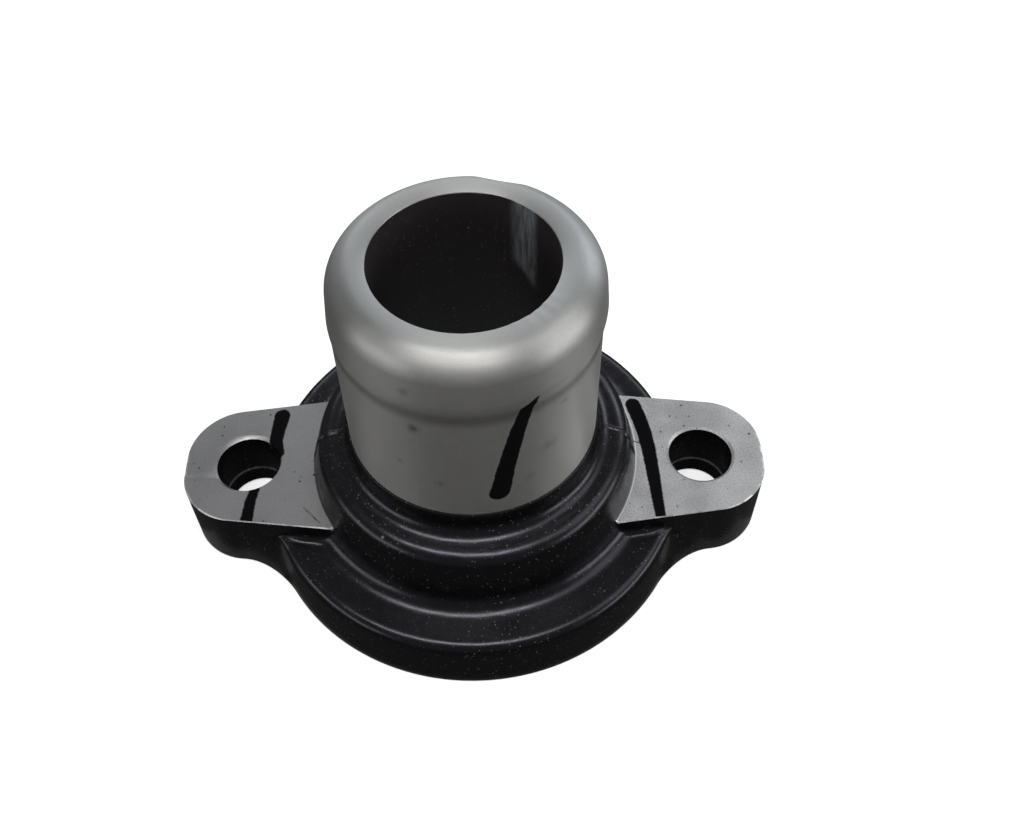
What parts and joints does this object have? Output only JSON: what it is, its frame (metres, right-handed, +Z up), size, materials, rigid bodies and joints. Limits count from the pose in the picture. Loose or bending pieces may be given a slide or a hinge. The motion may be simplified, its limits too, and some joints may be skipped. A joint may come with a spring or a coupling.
{
  "type": "thermostat housing",
  "caption": "Cast aluminium coolant outlet: a beaded hose neck on a stepped round flange with bolt lugs left and right, black coated with bare machined faces.",
  "frame": {"origin": "on the neck axis, in the plane of the mounting face", "axes": "+Z up the neck, X along the bolt lugs, whose line of holes lies 1.4 mm towards -Y"},
  "size_m": [0.0778, 0.0576, 0.046],
  "materials": {
    "housing": "semi-gloss black coating over the casting, bare satin aluminium on the machined neck, lug pads and mounting face"
  },
  "bodies": {
    "root": {"housing": "housing"}
  },
  "joints": []
}
